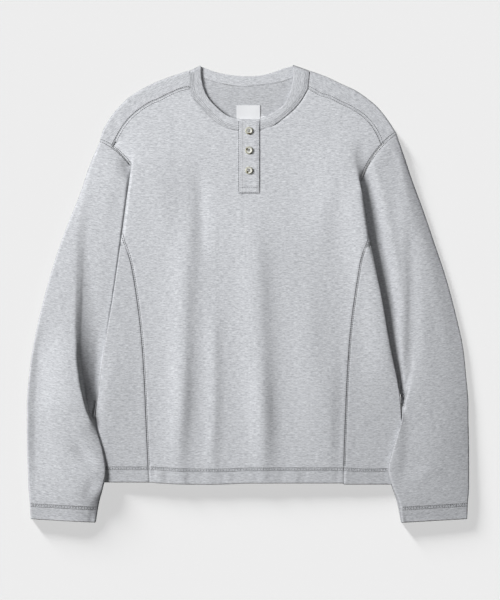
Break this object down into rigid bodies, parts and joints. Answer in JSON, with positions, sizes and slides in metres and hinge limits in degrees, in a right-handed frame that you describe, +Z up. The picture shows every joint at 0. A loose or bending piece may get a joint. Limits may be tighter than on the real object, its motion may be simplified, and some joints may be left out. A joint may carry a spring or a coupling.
{
  "type": "long-sleeve t-shirt",
  "caption": "Long-sleeve henley t-shirt in heavy jersey, laid flat on its back with the sleeves folded down beside the body, button placket and round neckband.",
  "frame": {"origin": "middle of the bounding box in plan, on the surface that the shirt lies on", "axes": "+Z up out of the surface towards the front of the shirt, +Y from the hem to the neck, +X to the right as seen from above"},
  "size_m": [0.714, 0.7397, 0.0142],
  "materials": {
    "jersey": "grey melange cotton jersey, matt",
    "label": "smooth white woven tape",
    "button": "marbled horn look, semi-gloss"
  },
  "bodies": {
    "root": {"front": "jersey", "back": "jersey", "side_left": "jersey", "side_right": "jersey", "sleeve_left": "jersey", "sleeve_right": "jersey", "neckband": "jersey", "placket": "jersey", "neck_label": "label", "size_tab": "label", "button_1": "button", "button_2": "button", "button_3": "button"}
  },
  "joints": []
}
